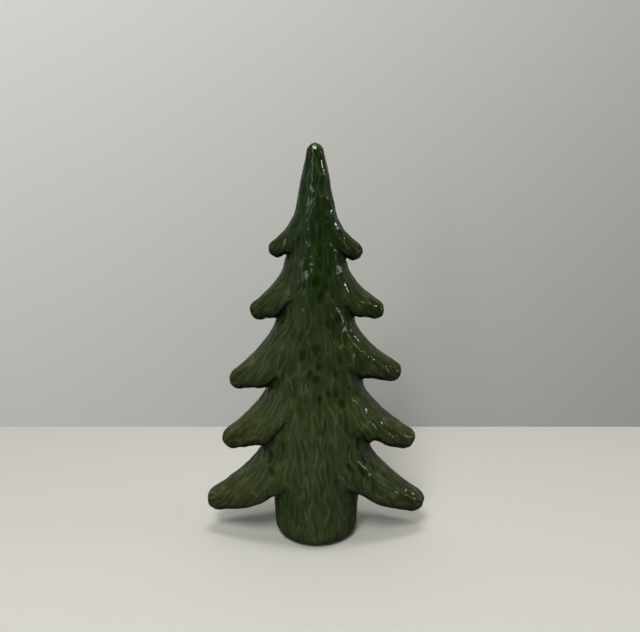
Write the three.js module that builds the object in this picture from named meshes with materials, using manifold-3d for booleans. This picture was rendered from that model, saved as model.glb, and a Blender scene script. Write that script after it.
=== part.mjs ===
// A ceramic Christmas tree: one hollow glazed casting with five tiers of drooping branches,
// standing on four felt pads. Millimetres, +Z up. The origin is on the table top under the
// middle of the foot. The tree faces -Y, and its back mirrors its front.
import * as THREE from "three";
import { mergeVertices } from "three/addons/utils/BufferGeometryUtils.js";
import Module from "manifold-3d";

// Felt pads, on a ring round the middle of the foot, and how far they lie inside its flat part
const padThickness = 0.8;
const padRadius = 4;
const padInset = 1.3;
const padPlaces = { front_left: -135, front_right: -45, back_right: 45, back_left: 135 };

// The casting: its wall, its floor and the vent that lets air out in the kiln
const wall = 4.5;
const floorThickness = 5;
const ventRadius = 1.8;
const narrowestHollow = 1.2;

// Trunk: half sizes of its oval at the foot, and the rounding of its lower edge
const trunkHalfWidth = 25.6;
const trunkHalfDepth = 24.4;
const trunkHeight = 24.2;
const footRounding = 6.6;

// How far it is from each tier's notch up to the next one's
const lowestRise = 33.5;
const secondRise = 39.5;
const middleRise = 40.5;
const fourthRise = 35;
const topRise = 33.5;

// How far each tier's branches reach from the middle of the tree
const lowestLeftReach = 69.2;
const lowestRightReach = 68.4;
const secondLeftReach = 58.2;
const secondRightReach = 61.2;
const middleLeftReach = 52.5;
const middleRightReach = 51.6;
const fourthLeftReach = 39.1;
const fourthRightReach = 40.2;
const topLeftReach = 27.3;
const topRightReach = 27;

// Half of the core's width at each tier's notch, and half of its depth
const lowestHalfWidth = 26.4;
const secondHalfWidth = 33.2;
const middleHalfWidth = 28.7;
const fourthHalfWidth = 22.6;
const topHalfWidth = 16.8;
const lowestHalfDepth = 24.2;
const secondHalfDepth = 24.5;
const middleHalfDepth = 22;
const fourthHalfDepth = 18.5;
const topHalfDepth = 14.5;

// Draws out half of a branch's depth past the core, as the middle point of its curve
const lowestRootDepth = 24;
const secondRootDepth = 24.2;
const middleRootDepth = 21;
const fourthRootDepth = 17;
const topRootDepth = 13;

// Radius of the branches' tips, and how far their upper edges hang below a straight line
const lowestTipRadius = 7.4;
const secondTipRadius = 6.9;
const middleTipRadius = 6.3;
const fourthTipRadius = 5.6;
const topTipRadius = 4.8;
const lowestSag = 2.9;
const secondSag = 2.5;
const middleSag = 2.6;
const fourthSag = 2.3;
const topSag = 3;

// Heights of the branches' tips above the notch
const lowestLeftTip = -3.2;
const secondLeftTip = 5.4;
const middleLeftTip = 4.4;
const fourthLeftTip = 6.8;
const topLeftTip = 8.1;
const lowestRightTip = -4.2;
const secondRightTip = 5.2;
const middleRightTip = 9.3;
const fourthRightTip = 7;
const topRightTip = 6.4;

// Heights above the notch of the arch of the branches' lower edges
const lowestLeftArch = 6.5;
const secondLeftArch = 3;
const middleLeftArch = -0.8;
const fourthLeftArch = 2;
const topLeftArch = 2;
const lowestRightArch = 10.5;
const secondRightArch = 8.5;
const middleRightArch = 4.4;
const fourthRightArch = 2.4;
const topRightArch = 0.8;

// The tiers from the lowest up
const tiers = [
  {
    rise: lowestRise,
    halfWidth: lowestHalfWidth,
    halfDepth: lowestHalfDepth,
    rootDepth: lowestRootDepth,
    tipRadius: lowestTipRadius,
    topSag: lowestSag,
    left: { reach: lowestLeftReach, tip: lowestLeftTip, arch: lowestLeftArch },
    right: { reach: lowestRightReach, tip: lowestRightTip, arch: lowestRightArch },
  },
  {
    rise: secondRise,
    halfWidth: secondHalfWidth,
    halfDepth: secondHalfDepth,
    rootDepth: secondRootDepth,
    tipRadius: secondTipRadius,
    topSag: secondSag,
    left: { reach: secondLeftReach, tip: secondLeftTip, arch: secondLeftArch },
    right: { reach: secondRightReach, tip: secondRightTip, arch: secondRightArch },
  },
  {
    rise: middleRise,
    halfWidth: middleHalfWidth,
    halfDepth: middleHalfDepth,
    rootDepth: middleRootDepth,
    tipRadius: middleTipRadius,
    topSag: middleSag,
    left: { reach: middleLeftReach, tip: middleLeftTip, arch: middleLeftArch },
    right: { reach: middleRightReach, tip: middleRightTip, arch: middleRightArch },
  },
  {
    rise: fourthRise,
    halfWidth: fourthHalfWidth,
    halfDepth: fourthHalfDepth,
    rootDepth: fourthRootDepth,
    tipRadius: fourthTipRadius,
    topSag: fourthSag,
    left: { reach: fourthLeftReach, tip: fourthLeftTip, arch: fourthLeftArch },
    right: { reach: fourthRightReach, tip: fourthRightTip, arch: fourthRightArch },
  },
  {
    rise: topRise,
    halfWidth: topHalfWidth,
    halfDepth: topHalfDepth,
    rootDepth: topRootDepth,
    tipRadius: topTipRadius,
    topSag: topSag,
    left: { reach: topLeftReach, tip: topLeftTip, arch: topLeftArch },
    right: { reach: topRightReach, tip: topRightTip, arch: topRightArch },
  },
];

// Spire above the top tier, up to its rounded end
const spireHeight = 26;
const spireRootHalfWidth = 10.2;
const spireRootHalfDepth = 10;
const apexRadius = 5.7;
const apexHeight = 7;

// How far inside the core's edge a branch starts, so that the two run into each other
const rootSink = 0.4;

// How finely the surfaces are divided
const coreSides = 32;
const coreSteps = 4;
const branchSides = 16;
const branchSteps = 7;
const roundSteps = 4;
const hollowCoreSides = 16;
const hollowCoreSteps = 2;
const hollowBranchSides = 8;
const hollowBranchSteps = 4;
const padSides = 24;
const ventSides = 12;

// Surfaces
const glaze = new THREE.MeshStandardMaterial({ color: 0x2a3f21, roughness: 0.15, metalness: 0 });
const felt = new THREE.MeshStandardMaterial({ color: 0x3b3a36, roughness: 0.95, metalness: 0 });

const wasm = await Module();
wasm.setup();

// The middle of each pad lies this far from the middle of the foot
const padRing = trunkHalfDepth - footRounding - padInset - padRadius;

// Heights worked out from the foot up
const footHeight = padThickness;
const notchHeights = [footHeight + trunkHeight];
for (const tier of tiers) notchHeights.push(notchHeights.at(-1) + tier.rise);
const spireRootHeight = notchHeights.at(-1);
const apexBaseHeight = spireRootHeight + spireHeight;

// Points (half width, half depth, height) where the core's size is set, from above the foot's
// rounding to the base of the apex
const coreStations = [
  new THREE.Vector3(trunkHalfWidth, trunkHalfDepth, footHeight + footRounding),
  ...tiers.map((tier, i) => new THREE.Vector3(tier.halfWidth, tier.halfDepth, notchHeights[i])),
  new THREE.Vector3(spireRootHalfWidth, spireRootHalfDepth, spireRootHeight),
  new THREE.Vector3(apexRadius, apexRadius, apexBaseHeight),
];
const coreCurve = new THREE.CatmullRomCurve3(coreStations);

// A closed solid through rings of equally many points, ending in one point at each end.
function loft(rings, firstPoint, lastPoint) {
  const sides = rings[0].length;
  const points = [...rings.flat(), firstPoint, lastPoint];
  const first = points.length - 2;
  const last = points.length - 1;
  const lastRing = (rings.length - 1) * sides;
  const triangles = [];
  for (let j = 0; j < sides; j++) {
    const k = (j + 1) % sides;
    triangles.push(first, k, j);
    triangles.push(last, lastRing + j, lastRing + k);
    for (let row = 0; row < lastRing; row += sides) {
      triangles.push(row + j, row + k, row + sides + k);
      triangles.push(row + j, row + sides + k, row + sides + j);
    }
  }
  const vertProperties = new Float32Array(points.flatMap((p) => [p.x, p.y, p.z]));
  return new wasm.Manifold(
    new wasm.Mesh({ numProp: 3, vertProperties, triVerts: new Uint32Array(triangles) }),
  );
}

// The solid of a closed three.js geometry.
function solidOf(geometry) {
  geometry.deleteAttribute("normal");
  geometry.deleteAttribute("uv");
  const merged = mergeVertices(geometry);
  return new wasm.Manifold(
    new wasm.Mesh({
      numProp: 3,
      vertProperties: merged.attributes.position.array,
      triVerts: new Uint32Array(merged.index.array),
    }),
  );
}

// The three.js geometry of a solid.
function geometryOf(solid) {
  const mesh = solid.getMesh();
  const geometry = new THREE.BufferGeometry();
  geometry.setAttribute("position", new THREE.BufferAttribute(mesh.vertProperties, 3));
  geometry.setIndex(new THREE.BufferAttribute(mesh.triVerts, 1));
  geometry.computeVertexNormals();
  return geometry;
}

// One level oval of the core.
function coreRing(halfWidth, halfDepth, height, sides) {
  return Array.from({ length: sides }, (_, i) => {
    const angle = (2 * Math.PI * i) / sides;
    return new THREE.Vector3(halfWidth * Math.cos(angle), halfDepth * Math.sin(angle), height);
  });
}

// The core's outside: rounded foot, trunk, tapering body and rounded apex.
function makeCore() {
  const rings = [];
  for (let i = 0; i < roundSteps; i++) {
    const angle = (Math.PI / 2) * (i / roundSteps);
    const inset = footRounding * (1 - Math.sin(angle));
    const height = footHeight + footRounding * (1 - Math.cos(angle));
    rings.push(coreRing(trunkHalfWidth - inset, trunkHalfDepth - inset, height, coreSides));
  }
  const steps = coreSteps * (coreStations.length - 1);
  for (let i = 0; i <= steps; i++) {
    const { x: halfWidth, y: halfDepth, z: height } = coreCurve.getPoint(i / steps);
    rings.push(coreRing(halfWidth, halfDepth, height, coreSides));
  }
  for (let i = 1; i < roundSteps; i++) {
    const angle = (Math.PI / 2) * (i / roundSteps);
    const radius = apexRadius * Math.cos(angle);
    rings.push(coreRing(radius, radius, apexBaseHeight + apexHeight * Math.sin(angle), coreSides));
  }
  const foot = new THREE.Vector3(0, 0, footHeight);
  const apex = new THREE.Vector3(0, 0, apexBaseHeight + apexHeight);
  return loft(rings, foot, apex);
}

// The core's hollow: the same ovals less the wall, from the floor to just under the apex.
function makeCoreHollow() {
  const floorHeight = footHeight + floorThickness;
  const steps = hollowCoreSteps * (coreStations.length - 1);
  const rings = [
    coreRing(trunkHalfWidth - wall, trunkHalfDepth - wall, floorHeight, hollowCoreSides),
  ];
  let top = floorHeight;
  for (let i = 1; i <= steps; i++) {
    const { x: halfWidth, y: halfDepth, z: height } = coreCurve.getPoint(i / steps);
    if (height <= top || Math.min(halfWidth, halfDepth) - wall < narrowestHollow) continue;
    rings.push(coreRing(halfWidth - wall, halfDepth - wall, height, hollowCoreSides));
    top = height;
  }
  const bottom = new THREE.Vector3(0, 0, floorHeight);
  return loft(rings, bottom, new THREE.Vector3(0, 0, top + narrowestHollow));
}

// The sections of one branch, from the core's middle out to its tip, and the end of the tip.
// Points are (distance from the middle of the tree, height). A section is an egg shape: top and
// belly are its ends on the tree's middle plane, centre is where it is deepest, and halfDepth is
// half of its depth there. The first section lies level in the core, and the rest fan outwards.
function branchSections(tier, index, branch, steps) {
  const notchHeight = notchHeights[index];
  const shoulderHeight = notchHeights[index + 1];
  const coreAbove = coreStations[index + 2];
  const shoulder = new THREE.Vector2(coreAbove.x - rootSink, shoulderHeight);
  const axis = new THREE.Vector2(0, shoulderHeight);
  const arch = new THREE.Vector2(0, notchHeight + branch.arch);
  const tip = new THREE.Vector2(branch.reach - tier.tipRadius, notchHeight + branch.tip);
  const notch = new THREE.Vector2(tier.halfWidth, arch.y);
  const outward = tip.clone().sub(shoulder.clone().add(notch).multiplyScalar(0.5)).normalize();
  const upward = new THREE.Vector2(-outward.y, outward.x).multiplyScalar(tier.tipRadius);

  const tipTop = tip.clone().add(upward);
  const along = tipTop.clone().sub(shoulder).normalize();
  const hang = new THREE.Vector2(along.y, -along.x).multiplyScalar(2 * tier.topSag);
  const sagging = shoulder.clone().add(tipTop).multiplyScalar(0.5).add(hang);
  const topLine = new THREE.QuadraticBezierCurve(shoulder, sagging, tipTop);
  const bellyLine = new THREE.QuadraticBezierCurve(axis, arch, tip.clone().sub(upward));
  const depths = new THREE.QuadraticBezierCurve(
    new THREE.Vector2(0, coreAbove.y - rootSink),
    new THREE.Vector2(0.5, tier.rootDepth),
    new THREE.Vector2(1, tier.tipRadius),
  );

  const sections = [];
  for (let i = 0; i <= steps; i++) {
    const share = i / steps;
    const top = topLine.getPoint(share);
    const belly = bellyLine.getPoint(share);
    const centre = belly.clone().lerp(top, share / 2);
    sections.push({ top, belly, centre, halfDepth: depths.getPoint(share).y });
  }
  for (let i = 1; i < roundSteps; i++) {
    const angle = (Math.PI / 2) * (i / roundSteps);
    const centre = tip.clone().addScaledVector(outward, tier.tipRadius * Math.sin(angle));
    const top = centre.clone().addScaledVector(upward, Math.cos(angle));
    const belly = centre.clone().addScaledVector(upward, -Math.cos(angle));
    sections.push({ top, belly, centre, halfDepth: tier.tipRadius * Math.cos(angle) });
  }
  return { sections, end: tip.clone().addScaledVector(outward, tier.tipRadius) };
}

// A branch's section as a ring. The left side is the right side turned half round the Z axis.
function branchRing({ top, belly, centre, halfDepth }, side, sides) {
  return Array.from({ length: sides }, (_, i) => {
    const angle = (2 * Math.PI * i) / sides;
    const edge = Math.cos(angle) > 0 ? top : belly;
    const point = centre.clone().lerp(edge, Math.abs(Math.cos(angle)));
    return new THREE.Vector3(side * point.x, -side * halfDepth * Math.sin(angle), point.y);
  });
}

// A branch as a closed body from the core's middle out to the end of its tip.
function makeBranch(tier, index, branch, side) {
  const { sections, end } = branchSections(tier, index, branch, branchSteps);
  const rings = sections.map((section) => branchRing(section, side, branchSides));
  const start = new THREE.Vector3(0, 0, sections[0].centre.y);
  return loft(rings, start, new THREE.Vector3(side * end.x, 0, end.y));
}

// A point of a section's edge, moved a wall's thickness towards the section's centre.
function insideWall(edge, centre) {
  const span = edge.distanceTo(centre);
  return span > wall ? edge.clone().lerp(centre, wall / span) : centre.clone();
}

// The hollow of a branch: its sections less the wall, as far out as there is room for a hollow.
function makeBranchHollow(tier, index, branch, side) {
  const { sections } = branchSections(tier, index, branch, hollowBranchSteps);
  const narrowed = sections.map(({ top, belly, centre, halfDepth }) => ({
    top: insideWall(top, centre),
    belly: insideWall(belly, centre),
    centre,
    halfDepth: halfDepth - wall,
    room: Math.min(top.distanceTo(centre), halfDepth) - wall,
  }));
  const open = narrowed.filter(({ room }) => room > narrowestHollow);
  const rings = open.map((section) => branchRing(section, side, hollowBranchSides));
  const end = open.at(-1).centre;
  const start = new THREE.Vector3(0, 0, sections[0].centre.y);
  return loft(rings, start, new THREE.Vector3(side * (end.x + narrowestHollow), 0, end.y));
}

// The vent through the floor of the casting.
function makeVent() {
  const length = 2 * floorThickness;
  const geometry = new THREE.CylinderGeometry(ventRadius, ventRadius, length, ventSides);
  geometry.rotateX(Math.PI / 2);
  geometry.translate(0, 0, footHeight + floorThickness / 2);
  return solidOf(geometry);
}

function makeTreeBody() {
  let outside = makeCore();
  let hollow = makeCoreHollow();
  tiers.forEach((tier, index) => {
    for (const [branch, side] of [[tier.left, -1], [tier.right, 1]]) {
      outside = outside.add(makeBranch(tier, index, branch, side));
      hollow = hollow.add(makeBranchHollow(tier, index, branch, side));
    }
  });
  const body = new THREE.Mesh(geometryOf(outside.subtract(hollow).subtract(makeVent())), glaze);
  body.name = "tree_body";
  return body;
}

function makePad(place, degrees) {
  const geometry = new THREE.CylinderGeometry(padRadius, padRadius, padThickness, padSides);
  geometry.rotateX(Math.PI / 2);
  geometry.translate(0, 0, padThickness / 2);
  const pad = new THREE.Mesh(geometry, felt);
  const angle = THREE.MathUtils.degToRad(degrees);
  pad.position.set(padRing * Math.cos(angle), padRing * Math.sin(angle), 0);
  pad.name = `felt_pad_${place}`;
  return pad;
}

const tree = new THREE.Group();
tree.add(makeTreeBody());
for (const [place, degrees] of Object.entries(padPlaces)) tree.add(makePad(place, degrees));

export default tree;
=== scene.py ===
"""A glazed ceramic Christmas tree on four felt pads, dressed for a still picture.

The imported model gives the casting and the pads. The casting's outside is rebuilt here as a fine
surface, rounded where branches meet the core, and cut with the overlapping strokes of a carving
tool. The glaze is thick in the strokes and thin on the ridges between them. Lengths are in metres
unless a name ends in _MM.
"""

from math import pi, radians

import bmesh
import bpy
import numpy as np
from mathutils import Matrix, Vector
from mathutils.bvhtree import BVHTree


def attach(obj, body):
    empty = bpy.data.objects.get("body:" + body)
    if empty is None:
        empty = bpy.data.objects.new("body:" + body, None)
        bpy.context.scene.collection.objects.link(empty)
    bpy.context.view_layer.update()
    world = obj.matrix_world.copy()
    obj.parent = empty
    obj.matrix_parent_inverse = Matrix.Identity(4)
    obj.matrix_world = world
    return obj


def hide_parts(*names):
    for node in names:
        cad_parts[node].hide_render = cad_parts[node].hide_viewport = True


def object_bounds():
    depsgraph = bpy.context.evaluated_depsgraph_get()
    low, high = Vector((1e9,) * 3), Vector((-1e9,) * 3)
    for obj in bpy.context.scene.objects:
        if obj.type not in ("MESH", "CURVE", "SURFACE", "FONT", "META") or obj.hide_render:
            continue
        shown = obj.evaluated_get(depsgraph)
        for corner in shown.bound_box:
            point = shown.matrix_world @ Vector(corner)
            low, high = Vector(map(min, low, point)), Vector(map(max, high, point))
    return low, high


MM = 0.001

# Camera, at the photograph's viewing angle
IMAGE_WIDTH_PX = 640
FOCAL_LENGTH_PX = 670
SENSOR_WIDTH_MM = 36
CAMERA_PLACE = (2.1 * MM, -380 * MM, 245 * MM)
CAMERA_TILT_DOWN = radians(15.3)

# Stage: its paint as the camera sees it, on the wall at its left and right, with painted light that
# makes the wall brighter to the left, and as the glaze reflects it, a darker, shaded copy. Then the
# room's light from in front and from behind, between which directions it changes, and what the
# camera sees of it
WALL_Y = 0.153
STAGE_HALF_SIZE = 3.0
WALL_LIGHT_FADE_X = (-0.25, 0.35)
WALL_PAINT_AND_PAINTED_LIGHT = ((0.87, 0.86, 0.803), (0.545, 0.535, 0.492))
WALL_REFLECTED_SHADE = (0.50, 0.50, 0.47)
TABLE_PAINT = (0.637, 0.622, 0.564)
TABLE_REFLECTED_SHADE = (0.09, 0.088, 0.083)
ROOM_COLOUR = (0.95, 0.97, 1, 1)
ROOM_STRENGTHS = (0.05, 0.24)
ROOM_CHANGE_Y = (-0.4, 0.1)
ROOM_SEEN_STRENGTH = 0.6

# Lamps: place, size, watts and colour, and the point on the tree that they face
LAMP_AIM = (0, 0, 0.12)
WHITE = (1, 1, 1)
LAMPS = {
    "front_ceiling": ((-0.20, -0.78, 1.15), (0.45, 0.45), 11.5, WHITE),
    "middle_ceiling": ((0.0, -0.04, 1.45), (0.5, 0.3), 6.0, WHITE),
    "right_window": ((1.35, -0.38, 0.14), (0.2, 0.26), 0.78, (0.78, 0.91, 1)),
    "left_window": ((-0.85, -1.3, 0.72), (0.14, 0.95), 1.7, (0.78, 0.90, 1)),
    "left_wall": ((-1.8, -1.1, 0.35), (1.4, 1.2), 1.4, WHITE),
    "spot_1": ((0.80, -0.03, 0.90), (0.08, 0.08), 0.55, WHITE),
    "spot_2": ((1.20, -0.34, 0.55), (0.08, 0.08), 0.55, WHITE),
}

# Casting, as it was packed
FOOT_HEIGHT = 0.8 * MM
FLOOR_THICKNESS = 5 * MM
VENT_RADIUS = 1.8 * MM

# Fine surface: its face size, how far it is smoothed to round the facets and the creases away, and
# how much fuller it is made, because the carving cuts into it
FACE_SIZE = 1.1 * MM
ROUNDING_PASSES = 34
ROUNDING_STEP = 0.6
ROUNDING_BACK_STEP = -0.615
SIZE_PASSES = 50
SWELL = 0.35 * MM

# The tiers from the lowest up: height of the notch, half of the core's width there, the reach of
# the left and right branches, and for the ledge under each of them how far it runs in and up the
# core, and how much of the way in it has gone half way up. Then the spire's root, the top, and half
# of the core's width at the foot, at the spire's root and at the top
TIERS_MM = [
    {"notch": 25.0, "core": 26.4, "reach": (69.2, 68.4)},
    {"notch": 58.5, "core": 33.2, "reach": (58.2, 61.2),
     "ledge": ((17, 24, 0.45), (9, 19, 0.3))},
    {"notch": 98.0, "core": 28.7, "reach": (52.5, 51.6),
     "ledge": ((6, 10, 0.15), (4, 10, 0.15))},
    {"notch": 138.5, "core": 22.6, "reach": (39.1, 40.2),
     "ledge": ((9, 15, 0.25), (7, 13, 0.2))},
    {"notch": 173.5, "core": 16.8, "reach": (27.3, 27.0),
     "ledge": ((3, 7, 0.1), (3, 7, 0.1))},
]
SPIRE_NOTCH_MM = 207.0
TOP_MM = 240
FOOT_CORE_MM = 25.6
SPIRE_CORE_MM = 10.2
TOP_CORE_MM = 4

# Ledges: how far the surface comes out above the edge and goes in below it, how far from the edge
# both of these are felt, how much higher than its curve the edge lies, and the width of the painted
# shade in the corner where the ledge starts, where it ends, and on its lower side
LEDGE_OUT_MM = 1.2
LEDGE_OUT_REACH_MM = 6
LEDGE_IN_MM = 1.9
LEDGE_IN_REACH_MM = 2.8
LEDGE_LIFT_MM = 0.8
CORNER_SHADE_START_MM = 3.7
CORNER_SHADE_END_MM = 0.8
CORNER_SHADE_LOWER_MM = 0.7

# How much squarer the branches' lower front is, and how much lower the lowest branches' undersides
# hang half way out. For each tier, left and right, how much higher the underside lies next to the
# notch, and how far the notch is filled out. How much fuller the upper left edges are
SQUARER_MM = 1.2
BELLY_DROP_MM = (1.6, 0.9)
NOTCH_LIFT_MM = ((0.5, 1.2), (1.5, 3.0), (0.6, 1.6), (0, 0.4), (0, 0))
NOTCH_FILL_MM = ((0, 0), (0.3, 0), (0.8, 0), (0.8, 0.3), (0.8, 1.0))
UPPER_LEFT_MM = 0.5

# The share by which the spire is slimmer at its top than it was packed, and the heights between
# which it gets that slim
SLIMMER_TOP = 0.14
SLIMMER_MM = (219, 237)

# How the strokes lean as they go out along a branch: shares of its reach, and degrees below level
LEAN_SHARES = (0.0, 0.2, 0.4, 0.6, 0.8, 1.0)
LEAN_DEGREES = (90, 86, 72, 56, 41, 28)

# Strokes of the carving tool: half length, half width and depth in each part of the tree
STROKE_SEED = 23
STROKES_MM = {
    "trunk": (18.0, 2.0, 0.19),
    "lower_body": (17.0, 1.95, 0.21),
    "upper_body": (11.0, 2.4, 0.34),
    "spire": (6.5, 2.3, 0.37),
    "branch": (13.0, 1.95, 0.36),
}
STROKE_VARIATION = 0.3
STROKE_TURN = radians(7)
STROKE_SPACING = 1.25
STROKE_TRIES = 26000

# Pits: half length, half width and depth. Their area on the core: its heights, its middle, and the
# share by which it narrows towards a point at this height. Their areas at the lowest branches'
# roots: heights, middle and half width. Then how many points are tried, how far apart the pits
# stay, the tone above which a stroke is a pit, and the range of the pits' tones
PIT_MM = (5.0, 2.7, 0.55)
PIT_BAND_MM = (92, 176)
PIT_BAND_MIDDLE_MM = 4
PIT_BAND_NARROWING = 0.1
PIT_BAND_POINT_MM = 250
PIT_ROOTS_MM = (48, 72)
PIT_ROOT_MIDDLE_MM = 26
PIT_ROOT_HALF_WIDTH_MM = 9
PIT_TRIES = 155
PIT_SPACING = 1.9
PIT_TONE = 1.5
PIT_TONES = (1.78, 2.0)

# Surface between and on the strokes: how soft and how steep the ridges are, how far it stands out
# where no stroke reaches, the pale lines on the ridges, with the numbers that give each pair of
# strokes a chance of its own, the waves in the strokes, and ripple and streaks
SOFT_EDGE_MM = 0.03
RIDGE_STEEPNESS = 2.6
UNCUT_MM = 0.12
LINE_MM = 0.26
LINE_HEIGHTS_MM = (60, 110, 190)
LINE_STRENGTHS = (1.1, 0.95, 0.5)
LINE_BESIDE_PIT = 0.3
PAIR_WEIGHTS = (12.9898, 78.233)
PAIR_SCALE = 43758.5453
BEND_MM = 0.8
BEND_WAVE_MM = 15
RIPPLE_MM = 0.02
RIPPLE_WAVE_MM = 4
STREAK_MM = 0.03
STREAK_PASSES = 9

# Where the carving starts above the foot, and how near to its end an edge is still cut
CARVED_FROM = 1.2 * MM
NEAREST_CUT = 0.06

# Columns of a stroke's row: its place, its frame, its sizes and its tone
PLACE = slice(0, 3)
FLOW = slice(3, 6)
ACROSS = slice(6, 9)
NORMAL = slice(9, 12)
HALF_LENGTH = 12
HALF_WIDTH = 13
DEPTH = 14
TONE = 15
COLUMNS = 16

# Colours of the glaze, by its thickness, its height and its marks, and what multiplies them
THIN_GLAZE = (0.027, 0.0405, 0.0125)
THICK_GLAZE = (0.0115, 0.026, 0.0045)
DRIFT_TINTS = ((0.80, 0.90, 0.85), (1.25, 1.12, 1.05))
GRAIN_TINTS = ((0.76, 0.83, 0.82), (1.28, 1.22, 1.25))
LOW_TINT = (1.57, 1.50, 1.42)
HIGH_CORE_TINT = (0.54, 0.72, 0.54)
HIGH_TIP_TINT = (0.84, 0.97, 0.86)
TINT_HEIGHTS = (0.075, 0.185)
TIP_TINT = (0.80, 0.71, 0.52)
RUST = (0.050, 0.032, 0.010)
# Pits: glaze pooled in them, with a painted dark reflection
PIT_POOL_AND_DARK_REFLECTION = (0.007, 0.0185, 0.0014)
LINE_GLAZE = (0.128, 0.139, 0.062)
# Painted shade, near black, in the corners under the ledges and on the branches' undersides
CORNER_SHADE_PAINT = (0.0015, 0.003, 0.001)
CLAY = ((0.42, 0.37, 0.30), (0.56, 0.51, 0.43))

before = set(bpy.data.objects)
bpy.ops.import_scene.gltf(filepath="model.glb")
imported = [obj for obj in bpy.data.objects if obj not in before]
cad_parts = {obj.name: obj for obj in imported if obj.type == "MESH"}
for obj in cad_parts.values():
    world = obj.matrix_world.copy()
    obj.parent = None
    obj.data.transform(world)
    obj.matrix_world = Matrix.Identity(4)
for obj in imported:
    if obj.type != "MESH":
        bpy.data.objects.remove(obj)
cad_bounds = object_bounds()


# Camera and stage

def make_camera():
    data = bpy.data.cameras.new("camera")
    data.sensor_width = SENSOR_WIDTH_MM
    data.lens = FOCAL_LENGTH_PX / IMAGE_WIDTH_PX * SENSOR_WIDTH_MM
    camera = bpy.data.objects.new("camera", data)
    camera.location = CAMERA_PLACE
    camera.rotation_euler = (pi / 2 - CAMERA_TILT_DOWN, 0, 0)
    bpy.context.scene.collection.objects.link(camera)
    bpy.context.scene.camera = camera


class Nodes:
    """A material, with short ways to add and join its shader nodes."""

    def __init__(self, name):
        self.material = bpy.data.materials.new(name)
        self.material.use_nodes = True
        self.tree = self.material.node_tree
        self.shader = self.tree.nodes["Principled BSDF"]

    def put(self, socket, value):
        if isinstance(value, bpy.types.NodeSocket):
            self.tree.links.new(value, socket)
        elif isinstance(value, tuple) and len(value) == 3 and socket.type == "RGBA":
            socket.default_value = (*value, 1)
        else:
            socket.default_value = value

    def add(self, kind, inputs, output=0, **settings):
        node = self.tree.nodes.new(kind)
        for key, value in settings.items():
            setattr(node, key, value)
        for key, value in inputs.items():
            self.put(node.inputs[key], value)
        return node.outputs[output]

    def shade(self, inputs):
        for key, value in inputs.items():
            self.put(self.shader.inputs[key], value)

    def place(self):
        return self.add("ShaderNodeTexCoord", {}, "Object")

    def attribute(self, name):
        return self.add("ShaderNodeAttribute", {}, "Fac", attribute_name=name)

    def noise(self, scale, detail):
        inputs = {"Vector": self.place(), "Scale": scale, "Detail": detail}
        return self.add("ShaderNodeTexNoise", inputs)

    def math(self, operation, first, second):
        return self.add("ShaderNodeMath", {0: first, 1: second}, operation=operation)

    def limited(self, value, low, high):
        """0 where a value is at its low end, 1 at its high end."""
        return self.add("ShaderNodeMapRange", {"Value": value, "From Min": low, "From Max": high})

    def mix(self, share, first, second, blend="MIX"):
        inputs = {0: share, 6: first, 7: second}
        return self.add("ShaderNodeMix", inputs, 2, data_type="RGBA", blend_type=blend)


def link_piece(name, mesh):
    piece = bpy.data.objects.new(name, mesh)
    bpy.context.scene.collection.objects.link(piece)
    return piece


def wall_material():
    """Pale paint on the wall's front, with painted light that makes it brighter to the left.
    The glaze reflects a darker, shaded copy of it.

    From behind, the wall can't be seen.
    """
    n = Nodes("wall_paint_and_painted_light")
    x = n.add("ShaderNodeSeparateXYZ", {0: n.place()})
    # Painted light: the wall's paint is made brighter to the left
    paint = n.mix(n.limited(x, *WALL_LIGHT_FADE_X), *WALL_PAINT_AND_PAINTED_LIGHT)
    seen = n.add("ShaderNodeLightPath", {}, "Is Camera Ray")
    # Rays other than the camera's see a darker, shaded copy of the paint
    n.shade({"Base Color": n.mix(seen, WALL_REFLECTED_SHADE, paint), "Roughness": 0.8})
    clear = n.add("ShaderNodeBsdfTransparent", {})
    back = n.add("ShaderNodeNewGeometry", {}, "Backfacing")
    shown = n.add("ShaderNodeMixShader", {0: back, 1: n.shader.outputs[0], 2: clear})
    n.put(n.tree.nodes["Material Output"].inputs["Surface"], shown)
    return n.material


def table_material():
    """Pale paint as the camera sees it, and a darker, shaded copy of it that the glaze reflects."""
    n = Nodes("table_paint_and_reflected_shade")
    seen = n.add("ShaderNodeLightPath", {}, "Is Camera Ray")
    # Rays other than the camera's see a much darker, shaded copy of the paint
    n.shade({"Base Color": n.mix(seen, TABLE_REFLECTED_SHADE, TABLE_PAINT), "Roughness": 0.6})
    return n.material


def make_stage():
    """A pale table top, and a pale wall behind the tree."""
    s = STAGE_HALF_SIZE
    table = [(-s, -s, 0), (s, -s, 0), (s, s, 0), (-s, s, 0)]
    wall = [(-s, WALL_Y, 0), (s, WALL_Y, 0), (s, WALL_Y, s), (-s, WALL_Y, s)]
    for name, corners, material in (
        ("table_top", table, table_material()),
        ("wall", wall, wall_material()),
    ):
        mesh = bpy.data.meshes.new(name)
        mesh.from_pydata(corners, [], [(0, 1, 2, 3)])
        mesh.materials.append(material)
        link_piece(name, mesh)


def add_lamp(name, place, size, watts, colour):
    """A rectangular lamp that faces the middle of the tree."""
    data = bpy.data.lights.new(name, "AREA")
    data.shape = "RECTANGLE"
    data.size, data.size_y = size
    data.energy = watts
    data.color = colour
    lamp = bpy.data.objects.new(name, data)
    lamp.location = place
    lamp.rotation_mode = "QUATERNION"
    aim = Vector(LAMP_AIM) - Vector(place)
    lamp.rotation_quaternion = aim.to_track_quat("-Z", "Y")
    bpy.context.scene.collection.objects.link(lamp)


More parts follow.
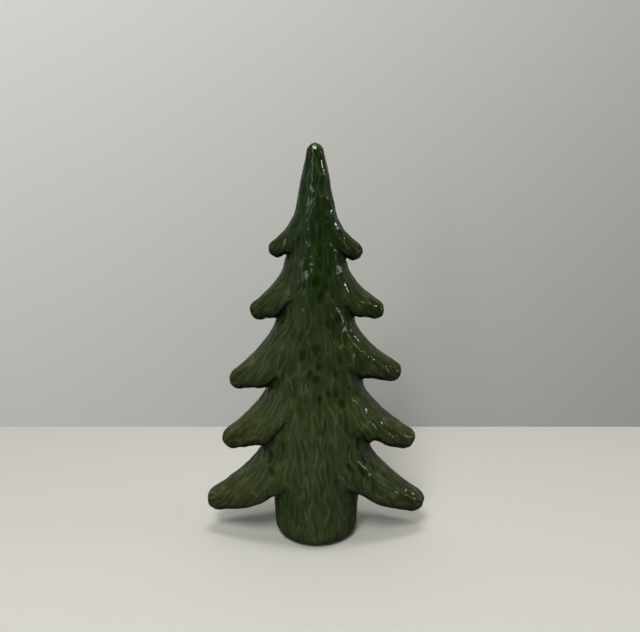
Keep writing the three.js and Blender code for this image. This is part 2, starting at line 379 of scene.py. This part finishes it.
def make_world():
    """Light from all round, dimmer from the front, and pale where the camera sees it."""
    world = bpy.data.worlds.new("room")
    world.use_nodes = True
    tree = world.node_tree
    background = tree.nodes["Background"]
    seen = tree.nodes.new("ShaderNodeLightPath").outputs["Is Camera Ray"]
    place = tree.nodes.new("ShaderNodeTexCoord").outputs["Generated"]
    parts = tree.nodes.new("ShaderNodeSeparateXYZ")
    tree.links.new(place, parts.inputs[0])
    front = tree.nodes.new("ShaderNodeMapRange")
    tree.links.new(parts.outputs["Y"], front.inputs["Value"])
    ends = ("From Min", "From Max", "To Min", "To Max")
    for end, value in zip(ends, ROOM_CHANGE_Y + ROOM_STRENGTHS):
        front.inputs[end].default_value = value
    strength = tree.nodes.new("ShaderNodeMix")
    tree.links.new(seen, strength.inputs[0])
    tree.links.new(front.outputs[0], strength.inputs[2])
    strength.inputs[3].default_value = ROOM_SEEN_STRENGTH
    tree.links.new(strength.outputs[0], background.inputs["Strength"])
    background.inputs["Color"].default_value = ROOM_COLOUR
    bpy.context.scene.world = world


# Meshes as arrays of points and triangles

def evaluated(mesh, modifier_type, **settings):
    """The mesh after one modifier with these settings."""
    carrier = link_piece("carrier", mesh)
    modifier = carrier.modifiers.new("step", modifier_type)
    for key, value in settings.items():
        setattr(modifier, key, value)
    graph = bpy.context.evaluated_depsgraph_get()
    made = bpy.data.meshes.new_from_object(carrier.evaluated_get(graph))
    bpy.data.objects.remove(carrier)
    return made


def numbers(collection, field, width, kind):
    """One field of a mesh's vertices, edges or triangles, a row for each."""
    values = np.zeros(len(collection) * width, kind)
    collection.foreach_get(field, values)
    return values.reshape(-1, width)


def length_of(vectors):
    return np.sqrt((vectors * vectors).sum(-1, keepdims=True))


def unit(vectors):
    return vectors / np.maximum(length_of(vectors), 1e-9)


def normals_of(points, triangles):
    a, b, c = (points[triangles[:, i]] for i in range(3))
    normals = np.zeros_like(points)
    for i in range(3):
        np.add.at(normals, triangles[:, i], np.cross(b - a, c - a))
    return unit(normals)


def averager(edges, count):
    """A function that averages a quantity over each point's neighbours."""
    a, b = edges.T
    valence = np.bincount(a, minlength=count) + np.bincount(b, minlength=count)

    def average(values):
        total = np.empty_like(values)
        for axis in range(values.shape[1]):
            column = values[:, axis]
            total[:, axis] = np.bincount(a, column[b], count) + np.bincount(b, column[a], count)
        return total / valence[:, None]

    return average


def smooth_step(low, high, value):
    share = np.clip((value - low) / (high - low), 0, 1)
    return share * share * (3 - 2 * share)


def waves(points, wavelength_mm, seed):
    """A smooth wavy number at each point, mostly between -1 and 1."""
    random = np.random.default_rng(seed)
    ways = unit(random.normal(size=(9, 3))) * random.uniform(0.75, 1.3, (9, 1))
    phases = random.uniform(0, 2 * pi, 9)
    return np.sin(points @ ways.T * (2 * pi / (wavelength_mm * MM)) + phases).sum(1) / 3


# The casting's outside and hollow

def shells_of(bm):
    """The separate shells of a bmesh, as lists of faces in the bmesh's own order."""
    bm.faces.index_update()
    waiting = set(bm.faces)
    shells = []
    while waiting:
        front = [waiting.pop()]
        shell = []
        while front:
            face = front.pop()
            shell.append(face)
            near = {other for edge in face.edges for other in edge.link_faces} & waiting
            waiting -= near
            front.extend(near)
        shells.append(sorted(shell, key=lambda face: face.index))
    return shells


def mesh_of_faces(name, faces):
    """A new mesh of some faces of a bmesh."""
    places = {}
    for face in faces:
        for vertex in face.verts:
            places.setdefault(vertex, len(places))
    rows = [[places[vertex] for vertex in face.verts] for face in faces]
    mesh = bpy.data.meshes.new(name)
    mesh.from_pydata([vertex.co.copy() for vertex in places], [], rows)
    return mesh


def shells_of_casting():
    """The casting's outside and its hollow, each closed over the vent in the foot."""
    bm = bmesh.new()
    bm.from_mesh(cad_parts["tree_body"].data)
    bmesh.ops.remove_doubles(bm, verts=bm.verts, dist=1e-6)
    middle = FOOT_HEIGHT + FLOOR_THICKNESS / 2
    bore = []
    for face in bm.faces:
        heights = [vertex.co.z for vertex in face.verts]
        near = all(vertex.co.xy.length < VENT_RADIUS * 1.02 for vertex in face.verts)
        if near and min(heights) < middle < max(heights):
            bore.append(face)
    bmesh.ops.delete(bm, geom=bore, context="FACES")
    bmesh.ops.holes_fill(bm, edges=[edge for edge in bm.edges if edge.is_boundary])
    shells = shells_of(bm)
    shells.sort(key=lambda shell: -max(v.co.z for face in shell for v in face.verts))
    meshes = [mesh_of_faces(name, shell) for name, shell in zip(("outside", "hollow"), shells)]
    bm.free()
    return meshes


def fine_surface(outside):
    """Points and triangles of the outside, finely divided, with its facets and creases rounded."""
    bm = bmesh.new()
    bm.from_mesh(outside)
    exact = BVHTree.FromBMesh(bm)
    bm.free()
    mesh = evaluated(outside, "REMESH", mode="VOXEL", voxel_size=FACE_SIZE)
    points = numbers(mesh.vertices, "co", 3, np.float32).astype(float)
    average = averager(numbers(mesh.edges, "vertices", 2, np.int32), len(points))
    mesh.calc_loop_triangles()
    triangles = numbers(mesh.loop_triangles, "vertices", 3, np.int32)

    foot = points[:, 2] < FOOT_HEIGHT + 0.3 * MM
    free = np.where(foot, 0.0, 1.0)[:, None]
    for _ in range(ROUNDING_PASSES):
        for step in (ROUNDING_STEP, ROUNDING_BACK_STEP):
            points = points + step * free * (average(points) - points)

    normals = normals_of(points, triangles)
    lost = np.zeros((len(points), 1))
    for i, point in enumerate(points):
        nearest, normal, _, _ = exact.find_nearest(point)
        lost[i] = (nearest - Vector(point)).dot(Vector(normals[i]))
    for _ in range(SIZE_PASSES):
        lost = average(lost)
    points = points + free * (lost + SWELL) * normals
    points[foot, 2] = FOOT_HEIGHT
    return points, triangles


# Undersides of the branches, and the ledges where they meet the core

def share_of_reach(points):
    """How far out each point lies, as a share of the reach of its tier's branch."""
    x, z = np.abs(points[:, 0]) / MM, points[:, 2] / MM
    right = points[:, 0] > 0
    found = np.zeros(len(x), int)
    for number, tier in enumerate(TIERS_MM[1:], 1):
        run, rise, _ = np.where(right[:, None], tier["ledge"][1], tier["ledge"][0]).T
        edge = tier["notch"] + np.clip((tier["core"] - x) / run, 0, 1) * rise
        edge = np.where(x > tier["core"], tier["notch"] - 4, edge)
        found[z > edge] = number
    reaches = np.array([tier["reach"] for tier in TIERS_MM])
    return x / reaches[found, right.astype(int)]


def shaped_branches(points, normals):
    """Fills out the branches' lower front and upper left, and bends their undersides.

    It also slims the top of the spire.
    """
    x, z = np.abs(points[:, 0]) / MM, points[:, 2] / MM
    right = (points[:, 0] > 0).astype(int)
    share = share_of_reach(points)
    cores = [tier["core"] for tier in TIERS_MM]
    heights = [tier["notch"] for tier in TIERS_MM]
    outside = smooth_step(0.95, 1.25, x / np.interp(z, heights, cores)) * smooth_step(8, 14, z)
    under = np.maximum(-normals[:, 2], 0) * np.abs(normals[:, 1])
    squarer = SQUARER_MM * 2 * under * outside * smooth_step(0.95, 0.75, share)
    shaped = points + normals * (squarer * MM)[:, None]

    facing_down = smooth_step(0.1, -0.6, normals[:, 2])
    reach = np.array(TIERS_MM[0]["reach"])[right]
    half_way = np.exp(-(((x - 0.6 * reach) / 13) ** 2)) * (z < 30) * (x > 26)
    shaped[:, 2] -= np.array(BELLY_DROP_MM)[right] * MM * half_way * facing_down
    for tier, lift, fill in zip(TIERS_MM, NOTCH_LIFT_MM, NOTCH_FILL_MM):
        over, out = z - tier["notch"], x - tier["core"]
        near = np.exp(-(((out - 4) / 5) ** 2)) * (np.abs(over - 3) < 11) * smooth_step(-3, 1, out)
        shaped[:, 2] += np.array(lift)[right] * MM * near * facing_down
        near = np.exp(-((np.hypot(over, out) / 4) ** 2))
        shaped += normals * (np.array(fill)[right] * MM * near)[:, None]
    shaped[:, 0] *= 1 - SLIMMER_TOP * smooth_step(*SLIMMER_MM, z)
    upper_left = smooth_step(0.5, 0.95, normals @ (-0.75, 0, 0.66)) * smooth_step(0.9, 0.75, share)
    return shaped + normals * (UPPER_LEFT_MM * MM * upper_left)[:, None]


def ledges(points):
    """How far out each point moves so that each branch hangs over the body below it.

    Also returns how much the point lies in the painted shade of the corner under a ledge.
    """
    place = points[:, [0, 2]] / MM
    facing = smooth_step(3, 10, np.abs(points[:, 1]) / MM)
    shift, corner = np.zeros((2, len(points)))
    for tier in TIERS_MM[1:]:
        for side, (run, rise, turn) in zip((-1, 1), tier["ledge"]):
            start = np.array([side * tier["core"], tier["notch"]])
            end = start + [-side * run, rise]
            bend = start + [-side * run * turn, rise * 0.5]
            share = np.linspace(0, 1, 13)[:, None]
            curve = (1 - share) ** 2 * start + 2 * share * (1 - share) * bend + share**2 * end
            gap = place[:, None, :] - curve[None, :, :]
            nearest = length_of(gap)[..., 0].argmin(axis=1)
            along = unit(np.gradient(curve, axis=0))[nearest]
            offset = gap[np.arange(len(place)), nearest]
            above = -side * (along[:, 0] * offset[:, 1] - along[:, 1] * offset[:, 0]) - LEDGE_LIFT_MM
            beyond = (along * offset).sum(1)
            travelled = share[nearest, 0]
            fade = facing * (1 - travelled) ** 0.3
            fade = fade * np.exp(-((beyond / np.where(beyond < 0, 1.2, 2.5)) ** 2))
            out = LEDGE_OUT_MM * np.exp(-((above / LEDGE_OUT_REACH_MM) ** 2))
            out = out * smooth_step(-0.5, 0.5, above)
            inward = LEDGE_IN_MM * np.exp(-((above / LEDGE_IN_REACH_MM) ** 2))
            inward = inward * smooth_step(0.5, -0.5, above)
            shift += fade * (out - inward * smooth_step(-0.1, 0.35, travelled))
            # Painted shade: how dark the corner under the ledge is painted
            width = CORNER_SHADE_START_MM + (CORNER_SHADE_END_MM - CORNER_SHADE_START_MM) * travelled
            width = np.where(above > 0, width, CORNER_SHADE_LOWER_MM)
            corner = np.maximum(corner, fade * np.exp(-((above / width) ** 2)))
    return shift * MM, corner


# Carving

def stroke_flow(points, normals):
    """The way the strokes run at each point: down the core, and out along each branch."""
    x, z = np.abs(points[:, 0]) / MM, points[:, 2] / MM
    side = np.where(points[:, 0] > 0, 1, -1)
    lean = np.radians(np.interp(share_of_reach(points), LEAN_SHARES, LEAN_DEGREES))
    upright = np.maximum(smooth_step(22, 14, z) * (x < 30), smooth_step(196, 212, z))
    lean = lean * (1 - upright) + pi / 2 * upright
    flow = np.stack([side * np.cos(lean), np.zeros(len(x)), -np.sin(lean)], 1)
    return unit(flow - (flow * normals).sum(1)[:, None] * normals)


def stroke_sizes(points):
    """Half length, half width and depth of a stroke at each point, in metres."""
    x, z = np.abs(points[:, 0]) / MM, points[:, 2] / MM
    cores = [FOOT_CORE_MM] + [tier["core"] for tier in TIERS_MM] + [SPIRE_CORE_MM, TOP_CORE_MM]
    heights = [0] + [tier["notch"] for tier in TIERS_MM] + [SPIRE_NOTCH_MM, TOP_MM]
    branch = smooth_step(0.7, 1.05, x / np.interp(z, heights, cores)) * smooth_step(12, 26, z)
    trunk = (1 - branch) * smooth_step(40, 18, z)
    spire = (1 - branch) * smooth_step(180, 205, z)
    upper = (1 - branch) * smooth_step(70, 110, z) - spire
    lower = 1 - branch - trunk - upper - spire
    shares = np.stack([trunk, lower, upper, spire, branch], 1)
    return shares @ np.array(list(STROKES_MM.values())) * MM


def squared_distance(gap, rows):
    """Squared distance from the middle of a stroke, where 1 is its edge."""
    along = (gap * rows[..., FLOW]).sum(-1) / rows[..., HALF_LENGTH]
    side = (gap * rows[..., ACROSS]).sum(-1) / rows[..., HALF_WIDTH]
    deep = (gap * rows[..., NORMAL]).sum(-1) / rows[..., HALF_WIDTH]
    return along**2 + side**2 + deep**2


class Strokes:
    """Strokes of the carving tool: long shallow bowls, each with its place, frame, size and tone.

    A tone from 0 to 1 says how much glaze has pooled in a stroke. Pits have tones above PIT_TONE,
    and the higher a pit's tone, the darker it is painted: partly pooled glaze and partly a painted
    dark reflection.
    """

    def __init__(self):
        self.rows = np.zeros((0, COLUMNS))

    def scatter(self, random, points, normals, sizes, spacing, pits=False):
        """Adds strokes at some of the points, no closer to each other than the spacing."""
        flow = stroke_flow(points, normals)
        across = np.cross(normals, flow)
        turn = random.normal(0, STROKE_TURN, (len(points), 1))
        flow, across = (flow * np.cos(turn) + across * np.sin(turn),
                        across * np.cos(turn) - flow * np.sin(turn))
        varied = sizes * (1 + STROKE_VARIATION * random.uniform(-1, 1, sizes.shape))
        low, high = PIT_TONES if pits else (0, 1)
        tone = random.uniform(low, high, (len(points), 1))
        chosen = np.zeros((len(points), COLUMNS))
        count = 0
        for row in np.hstack([points, flow, across, normals, varied, tone]):
            far = squared_distance(row[PLACE] - chosen[:count, PLACE], chosen[:count])
            if count == 0 or far.min() > spacing**2:
                chosen[count] = row
                count += 1
        self.rows = np.vstack([self.rows, chosen[:count]])
        self.rows = self.rows[np.argsort(self.rows[:, 2])]

    @staticmethod
    def bent(points):
        """The points moved a little, so that the strokes run in gentle waves."""
        bend = [waves(points, BEND_WAVE_MM, seed) for seed in (1, 2, 3)]
        return points + BEND_MM * MM * np.stack(bend, 1)

    def depth_at(self, points, which):
        """How deep one stroke for each point cuts there."""
        rows = self.rows[which]
        return rows[:, DEPTH] * (1 - squared_distance(self.bent(points) - rows[:, PLACE], rows))

    def deepest(self, points):
        """The two strokes that cut deepest at each point."""
        bent = self.bent(points)
        order = np.argsort(bent[:, 2])
        two = np.zeros((len(points), 2), int)
        longest = self.rows[:, HALF_LENGTH].max()
        for places in np.array_split(order, max(1, len(order) // 1000)):
            low, high = bent[places[0], 2] - longest, bent[places[-1], 2] + longest
            start, end = np.searchsorted(self.rows[:, 2], (low, high))
            near = self.rows[start:end]
            gap = bent[places][:, None, :] - near[None, :, PLACE]
            cut = near[:, DEPTH] * (1 - squared_distance(gap, near))
            best = np.argpartition(-cut, 2, axis=1)[:, :2]
            values = np.take_along_axis(cut, best, 1)
            two[places] = start + np.where(values[:, :1] < values[:, 1:], best[:, ::-1], best)
        return two


def make_strokes(points, normals):
    """Strokes all over the tree, and pits on the core and at the lowest branches' roots."""
    random = np.random.default_rng(STROKE_SEED)
    strokes = Strokes()
    some = random.permutation(len(points))[:STROKE_TRIES]
    strokes.scatter(random, points[some], normals[some], stroke_sizes(points[some]), STROKE_SPACING)
    z = points[:, 2] / MM
    x = points[:, 0] / MM
    core = (z > PIT_BAND_MM[0]) & (z < PIT_BAND_MM[1])
    core &= np.abs(x - PIT_BAND_MIDDLE_MM) < PIT_BAND_NARROWING * (PIT_BAND_POINT_MM - z)
    roots = (z > PIT_ROOTS_MM[0]) & (z < PIT_ROOTS_MM[1])
    roots &= np.abs(np.abs(x) - PIT_ROOT_MIDDLE_MM) < PIT_ROOT_HALF_WIDTH_MM
    some = random.permutation(np.flatnonzero(core | roots))[:PIT_TRIES]
    sizes = np.tile(np.array(PIT_MM) * MM, (len(some), 1))
    strokes.scatter(random, points[some], normals[some], sizes, PIT_SPACING, pits=True)
    return strokes


def streaks(points, triangles, flow):
    """A random number at each point, smeared along the flow, mostly between -1 and 1."""
    a, b = np.unique(np.sort(np.vstack([triangles[:, :2], triangles[:, 1:]]), 1), axis=0).T
    aligned = (unit(points[b] - points[a]) * unit(flow[a] + flow[b])).sum(1) ** 12
    total = np.bincount(a, aligned, len(points)) + np.bincount(b, aligned, len(points))
    values = np.random.default_rng(STROKE_SEED).normal(size=len(points))
    for _ in range(STREAK_PASSES):
        near = np.bincount(a, aligned * values[b], len(points))
        near += np.bincount(b, aligned * values[a], len(points))
        values = 0.4 * values + 0.6 * near / np.maximum(total, 0.01)
    return values / values.std() / 2


def split_along_ridges(points, normals, triangles, strokes):
    """Adds points where two strokes meet, so that mesh edges follow the ridges between them.

    An edge that a ridge crosses right beside one of its ends isn't cut.
    Returns the points, normals and triangles, and the two deepest strokes at each point.
    """
    two = strokes.deepest(points)
    owner = two[:, 0]
    corners = np.stack([triangles, np.roll(triangles, -1, 1)], 2).reshape(-1, 2)
    edges, edge_of = np.unique(np.sort(corners, 1), axis=0, return_inverse=True)
    edge_of = edge_of.reshape(-1, 3)
    a, b = edges.T
    above = np.maximum(points[a, 2], points[b, 2]) > CARVED_FROM
    crossed = np.flatnonzero((owner[a] != owner[b]) & above)
    a, b = a[crossed], b[crossed]
    gap_a = strokes.depth_at(points[a], owner[a]) - strokes.depth_at(points[a], owner[b])
    gap_b = strokes.depth_at(points[b], owner[a]) - strokes.depth_at(points[b], owner[b])
    share = gap_a / np.maximum(gap_a - gap_b, 1e-12)
    inside = np.abs(share - 0.5) < 0.5 - NEAREST_CUT
    crossed, a, b, share = crossed[inside], a[inside], b[inside], share[inside, None]
    new_points = points[a] * (1 - share) + points[b] * share
    new_normals = unit(normals[a] * (1 - share) + normals[b] * share)
    new_of_edge = np.full(len(edges), -1)
    new_of_edge[crossed] = len(points) + np.arange(len(a))

    points = np.vstack([points, new_points])
    normals = np.vstack([normals, new_normals])
    two = np.vstack([two, np.stack([owner[a], owner[b]], 1)])
    cuts = new_of_edge[edge_of]
    count = (cuts >= 0).sum(1)
    made = [triangles[count == 0]]

    for turn in range(3):
        rows = (count == 1) & (cuts[:, turn] >= 0)
        i, j, k = (triangles[rows, (turn + step) % 3] for step in range(3))
        made += [np.stack(row, 1) for row in ((i, cuts[rows, turn], k), (cuts[rows, turn], j, k))]
        rows = (count == 2) & (cuts[:, (turn + 1) % 3] < 0)
        i, j, k = (triangles[rows, (turn + step) % 3] for step in range(3))
        first, last = cuts[rows, turn], cuts[rows, (turn + 2) % 3]
        made += [np.stack(row, 1) for row in ((i, first, last), (first, j, k), (first, k, last))]

    rows = count == 3
    middle = len(points) + np.arange(rows.sum())
    points = np.vstack([points, points[cuts[rows]].mean(1)])
    normals = np.vstack([normals, unit(normals[cuts[rows]].mean(1))])
    two = np.vstack([two, owner[triangles[rows, :2]]])
    for turn in range(3):
        i, j = triangles[rows, turn], triangles[rows, (turn + 1) % 3]
        cut = cuts[rows, turn]
        made += [np.stack([i, cut, middle], 1), np.stack([cut, j, middle], 1)]
    return points, normals, np.vstack(made), two


def chance_of_pair(pairs):
    """A number from 0 to 1 for each pair of strokes, the same wherever the two meet."""
    return np.modf(np.abs(np.sin(np.sort(pairs, 1) @ PAIR_WEIGHTS)) * PAIR_SCALE)[0]


def carve(points, triangles):
    """The carved points, their triangles and what the glaze needs to know of each point."""
    points = shaped_branches(points, normals_of(points, triangles))
    normals = normals_of(points, triangles)
    points = points + ledges(points)[0][:, None] * normals
    normals = normals_of(points, triangles)
    strokes = make_strokes(points, normals)
    points, normals, triangles, two = split_along_ridges(points, normals, triangles, strokes)

    first, second = (strokes.depth_at(points, two[:, i]) / MM for i in range(2))
    gap = np.abs(first - second)
    soft = SOFT_EDGE_MM * np.log1p(np.exp(-gap / SOFT_EDGE_MM))
    depth = np.maximum(np.maximum(first, second) + soft, -UNCUT_MM)
    grain = streaks(points, triangles, stroke_flow(points, normals))
    depth += RIPPLE_MM * waves(points, RIPPLE_WAVE_MM, 4) + STREAK_MM * np.clip(grain, -1.5, 1.5)
    above_foot = smooth_step(CARVED_FROM, 5 * MM, points[:, 2])
    share = share_of_reach(points)

    half_width, deep, tone = (strokes.rows[two[:, 0], HALF_WIDTH:] / (MM, MM, 1)).T
    from_ridge = gap * half_width / (RIDGE_STEEPNESS * deep)
    chance = chance_of_pair(two)
    chance = np.where(strokes.rows[two, TONE].max(1) > PIT_TONE, LINE_BESIDE_PIT * chance, chance)
    strength = np.interp(points[:, 2] / MM, LINE_HEIGHTS_MM, LINE_STRENGTHS)
    strength = strength * above_foot * (0.1 + 0.9 * chance**1.5)
    marks = {
        "line": strength * np.exp(-((from_ridge / LINE_MM) ** 2)),
        "grain": above_foot * np.clip(0.5 - 0.4 * grain, 0, 1),
        "pool": above_foot * smooth_step(0.3, 1.0, depth / deep) * (0.35 + 0.65 * np.minimum(tone, 1)),
        # Pits: pooled glaze and a painted dark reflection
        "pit": above_foot * np.clip(2 * (tone - PIT_TONE), 0, 1) * smooth_step(0.05, 0.7, depth / deep),
        # Painted shade in the corners under the ledges and on the branches' undersides
        "corner": ledges(points)[1],
        "under": smooth_step(0.42, 0.52, share) * smooth_step(-0.2, -0.75, normals[:, 2]),
        "glazed": smooth_step(0.4 * MM, 1.1 * MM, points[:, 2] - FOOT_HEIGHT),
        "tip": smooth_step(0.3, 0.9, share),
    }
    return points - normals * (depth * above_foot * MM)[:, None], triangles, marks


def with_hollow(tree, hollow):
    """Adds the hollow to the carved tree, and drills the vent through the foot into it."""
    bm = bmesh.new()
    bm.from_mesh(tree.data)
    bm.from_mesh(hollow)
    bm.to_mesh(tree.data)
    bm.free()
    bm = bmesh.new()
    bmesh.ops.create_cone(bm, cap_ends=True, segments=32, radius1=VENT_RADIUS, radius2=VENT_RADIUS,
                          depth=2 * FLOOR_THICKNESS)
    bmesh.ops.translate(bm, verts=bm.verts, vec=(0, 0, FOOT_HEIGHT + FLOOR_THICKNESS / 2))
    drill_mesh = bpy.data.meshes.new("drill")
    bm.to_mesh(drill_mesh)
    bm.free()
    drill = link_piece("drill", drill_mesh)
    drilled = evaluated(tree.data, "BOOLEAN", operation="DIFFERENCE", solver="EXACT", object=drill)
    bpy.data.objects.remove(drill)
    tree.data = drilled


def make_tree():
    outside, hollow = shells_of_casting()
    points, triangles, marks = carve(*fine_surface(outside))
    low, high = (np.array(corner) for corner in cad_bounds)
    low[2] = FOOT_HEIGHT
    points = low + (points - points.min(0)) * (high - low) / np.ptp(points, axis=0)

    mesh = bpy.data.meshes.new("carved_tree")
    mesh.from_pydata(points.tolist(), [], triangles.tolist())
    for name, values in marks.items():
        attribute = mesh.attributes.new(name, "FLOAT", "POINT")
        attribute.data.foreach_set("value", values.astype(np.float32))
    tree = link_piece("carved_tree", mesh)
    with_hollow(tree, hollow)
    tree.data.polygons.foreach_set("use_smooth", np.ones(len(tree.data.polygons), bool))
    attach(tree, "root")
    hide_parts("tree_body")
    return tree


# Materials

def glaze_material():
    """Dark green glaze, deep in the strokes and olive where it is thin on the ridges."""
    n = Nodes("green_glaze")
    glaze = n.mix(n.attribute("pool"), THIN_GLAZE, THICK_GLAZE)
    drift = n.limited(n.noise(38.0, 3.0), 0.3, 0.7)
    body = n.mix(1.0, glaze, n.mix(drift, *DRIFT_TINTS), "MULTIPLY")
    height = n.add("ShaderNodeSeparateXYZ", {0: n.place()}, "Z")
    high_tint = n.mix(n.attribute("tip"), HIGH_CORE_TINT, HIGH_TIP_TINT)
    tint = n.mix(n.limited(height, *TINT_HEIGHTS), LOW_TINT, high_tint)
    body = n.mix(1.0, body, tint, "MULTIPLY")
    rust = n.limited(n.noise(120.0, 2.0), 0.63, 0.76)
    body = n.mix(n.math("MULTIPLY", rust, 0.35), body, RUST)
    grain = n.mix(n.attribute("grain"), *GRAIN_TINTS)
    body = n.mix(1.0, body, grain, "MULTIPLY")
    body = n.mix(n.attribute("tip"), body, n.mix(1.0, body, TIP_TINT, "MULTIPLY"))
    # Pits are painted dark: pooled glaze and a painted dark reflection
    body = n.mix(n.attribute("pit"), body, PIT_POOL_AND_DARK_REFLECTION)
    broken = n.limited(n.noise(140.0, 3.0), 0.35, 0.68)
    line = n.math("MULTIPLY", n.attribute("line"), broken)
    colour = n.mix(line, body, LINE_GLAZE)
    # Painted shade: the corners under the ledges and the branches' undersides are painted near black
    shaded = n.math("MAXIMUM", n.attribute("corner"), n.attribute("under"))
    colour = n.mix(n.math("MULTIPLY", shaded, 0.9), colour, CORNER_SHADE_PAINT)
    clay = n.mix(n.noise(600.0, 3.0), *CLAY)
    colour = n.mix(n.attribute("glazed"), clay, colour)
    bump = n.add("ShaderNodeBump", {"Height": n.noise(330.0, 3.0), "Strength": 0.1, "Distance": 0.0004})
    n.shade({"Base Color": colour, "Roughness": 0.35, "Normal": bump, "Specular IOR Level": 0.0,
             "Coat Weight": 0.7, "Coat Roughness": 0.04, "Coat IOR": 1.5, "Coat Normal": bump})
    return n.material


def felt_material():
    n = Nodes("felt")
    fibres = n.noise(1500.0, 5.0)
    colour = n.mix(n.limited(fibres, 0.3, 0.7), (0.02, 0.019, 0.017), (0.07, 0.066, 0.058))
    bump = n.add("ShaderNodeBump", {"Height": fibres, "Strength": 0.6, "Distance": 0.0003})
    n.shade({"Base Color": colour, "Roughness": 0.95, "Normal": bump})
    return n.material


def dress():
    tree = make_tree()
    tree.data.materials.append(glaze_material())
    felt = felt_material()
    for name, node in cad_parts.items():
        if name.startswith("felt_pad"):
            node.data.materials.clear()
            node.data.materials.append(felt)


make_camera()
make_stage()
for lamp_name, lamp in LAMPS.items():
    add_lamp(lamp_name, *lamp)
make_world()
dress()
bpy.context.scene.view_settings.view_transform = "Standard"
